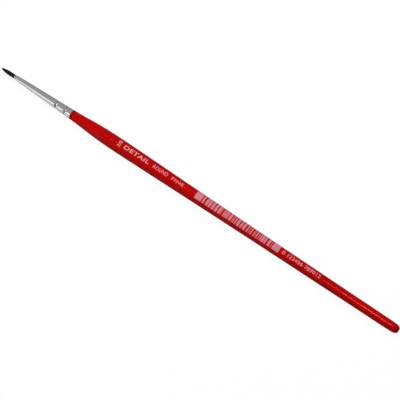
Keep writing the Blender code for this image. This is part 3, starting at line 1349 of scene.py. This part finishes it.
@dataclass(frozen=True)
class Lamp:
    """An area lamp that faces a point of the brush."""

    name: str
    place: Place
    target: Place
    size: Point
    radiance: float
    diffuse: bool = True  # lights what it falls on
    glossy: bool = True  # can be seen in what shines
    colour: Colour = (1.0, 1.0, 1.0)
    only: bpy.types.Object | None = None  # the one piece that it lights, if not all

    def hang(self) -> None:
        """Put the lamp in the scene."""
        data = bpy.data.lights.new(self.name, "AREA")
        data.shape = "RECTANGLE"
        data.size, data.size_y = self.size
        data.energy = self.radiance * math.pi * self.size[0] * self.size[1]
        data.color = self.colour
        lamp = show(self.name, data)
        lamp.location = self.place
        aim = Vector(self.target) - Vector(self.place)
        lamp.rotation_euler = aim.to_track_quat("-Z", "Y").to_euler()
        lamp.visible_camera = False
        lamp.visible_diffuse = self.diffuse
        lamp.visible_glossy = self.glossy
        if self.only is not None:
            lit = bpy.data.collections.new(self.name)
            lit.objects.link(self.only)
            lamp.light_linking.receiver_collection = lit


@dataclass
class Studio:
    """A pale floor, soft lamps and the camera."""

    axis: float
    coat: bpy.types.Object
    distance: float = 0.52
    tilt: float = math.radians(11.5)  # of the view from straight down, towards the butt
    roll: float = math.radians(33.5)  # of the brush in the picture, down to the right
    lens: float = 128.17  # in millimetres, on the sensor below
    sensor: float = 36.0
    aim: Point = (3.0 * MM, -0.207 * MM)  # where the picture's middle lies, in X and Y
    floor_size: float = 6.0
    floor_gap: float = 0.02 * MM
    ambient: float = 0.11  # the room's light on what is matt
    mirrored: float = 0.34  # and in what shines
    paper_glow: float = 0.94  # how bright the paper is to look at, before the lamps
    paper_seen: float = 0.08  # its grey for the camera
    paper_thrown: float = 0.12  # in the light that it throws back
    paper_near: float = 0.64  # in what shines, on the side of -Y
    paper_far: float = 0.30  # and on the side of +Y
    paper_fade: float = 12.0  # half the width of the fade between the two, in millimetres
    streak_tint: Colour = (1.0, 0.20, 0.16)  # of the card that draws the streak on the lacquer

    def build(self) -> None:
        """Set up the studio."""
        bpy.context.scene.view_settings.view_transform = "Standard"
        self.camera()
        self.floor()
        self.world()
        for lamp in self.lamps():
            lamp.hang()

    def camera(self) -> None:
        """Place the camera."""
        back = Vector((math.sin(self.tilt), 0, math.cos(self.tilt)))
        level = Vector((math.cos(self.tilt), 0, -math.sin(self.tilt)))
        side = Vector((0, 1, 0))
        right = level * math.cos(self.roll) + side * math.sin(self.roll)
        up = side * math.cos(self.roll) - level * math.sin(self.roll)
        data = bpy.data.cameras.new("camera")
        data.lens = self.lens
        data.sensor_width = self.sensor
        data.clip_start = 10 * MM
        camera = show("camera", data)
        turned = Matrix((right, up, back)).transposed().to_4x4()
        centre = Vector((*self.aim, self.axis))
        camera.matrix_world = Matrix.Translation(centre + back * self.distance) @ turned
        bpy.context.scene.camera = camera

    def floor(self) -> None:
        """Lay the floor under the lowest point of the brush."""
        mesh = bpy.data.meshes.new("floor")
        shape = bmesh.new()
        bmesh.ops.create_grid(shape, x_segments=1, y_segments=1, size=self.floor_size / 2)
        shape.to_mesh(mesh)
        shape.free()
        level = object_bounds()[0].z - self.floor_gap
        mesh.transform(Matrix.Translation((0, 0, level)))
        floor = show("floor", mesh)
        mesh.materials.append(self.paper())
        floor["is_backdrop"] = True

    def paper(self) -> bpy.types.Material:
        """Make the floor's paper, bright to look at and dim in what it throws back."""
        made = bpy.data.materials.new("studio_paper")
        paint = Paint.afresh(made)
        seen = paint.ray("Camera")
        across = paint.place().parts()[1]
        fade = paint.ramp(across, -self.paper_fade, self.paper_fade)
        sheet = paint.mix(fade, (self.paper_near,) * 3, (self.paper_far,) * 3)
        plain = paint.mix(seen, (self.paper_thrown,) * 3, (self.paper_seen,) * 3)
        shade = paint.mix(paint.ray("Glossy"), plain, sheet)
        matte = paint.signal("ShaderNodeBsdfDiffuse", sockets={"Color": shade})
        lit = {"Color": (1, 1, 1, 1), "Strength": self.paper_glow}
        glow = paint.signal("ShaderNodeEmission", sockets=lit)
        both = paint.signal("ShaderNodeAddShader", sockets={0: glow, 1: matte})
        mixed = paint.signal("ShaderNodeMixShader", sockets={0: seen, 1: matte, 2: both})
        paint.node("ShaderNodeOutputMaterial", sockets={"Surface": mixed})
        return made

    def world(self) -> None:
        """Fill the room with soft light, and show it white behind the brush."""
        world = bpy.data.worlds.new("studio")
        paint = Paint.afresh(world)
        room = paint.mix(paint.ray("Glossy"), (self.ambient,) * 3, (self.mirrored,) * 3)
        shade = paint.mix(paint.ray("Camera"), room, (1.0, 1.0, 1.0))
        light = paint.signal("ShaderNodeBackground", sockets={"Color": shade})
        paint.node("ShaderNodeOutputWorld", sockets={"Surface": light})
        bpy.context.scene.world = world

    def lamps(self) -> list[Lamp]:
        """Give the lamps: a broad key, a low fill, and cards that only shine in gloss."""
        middle = (0.0, 0.0, self.axis)
        front = (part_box("ferrule")[0].x, 0.0, self.axis)
        belly = (-0.030, 0.0, self.axis)
        return [
            Lamp("key", (-0.090, 0.280, 0.510), middle, (0.30, 0.30), 9.9, glossy=False),
            Lamp("fill", (-0.150, -0.200, 0.080), belly, (0.12, 0.12), 3.2, glossy=False),
            Lamp(
                "streak_card",
                (0.068, 0.140, 0.490),
                middle,
                (0.06, 0.12),
                130.0,
                diffuse=False,
                colour=self.streak_tint,
                only=self.coat,
            ),
            Lamp("ferrule_card", (-0.216, -0.232, 0.301), front, (0.088, 0.20), 1.03, diffuse=False),
            Lamp("low_card", (-0.200, -0.450, 0.050), front, (0.40, 0.10), 0.75, diffuse=False),
            Lamp("crimp_card", (-0.420, 0.110, 0.380), front, (0.05, 0.06), 9.0, diffuse=False),
            Lamp("lip_card", (-0.480, 0.020, 0.130), front, (0.24, 0.10), 24.0, diffuse=False),
        ]


def main() -> None:
    """Build the brush from the inside out, then the studio."""
    logging.basicConfig(level=logging.INFO, format="%(name)s: %(message)s")
    low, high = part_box("ferrule")
    axis = (low.z + high.z) / 2
    turning = Turning(axis)
    coat = Handle(axis).build(turning)
    Ferrule(axis).build(turning)
    Tuft(axis).build()
    Printing(axis, coat).build()
    Studio(axis, coat).build()


if __name__ == "__main__":
    main()
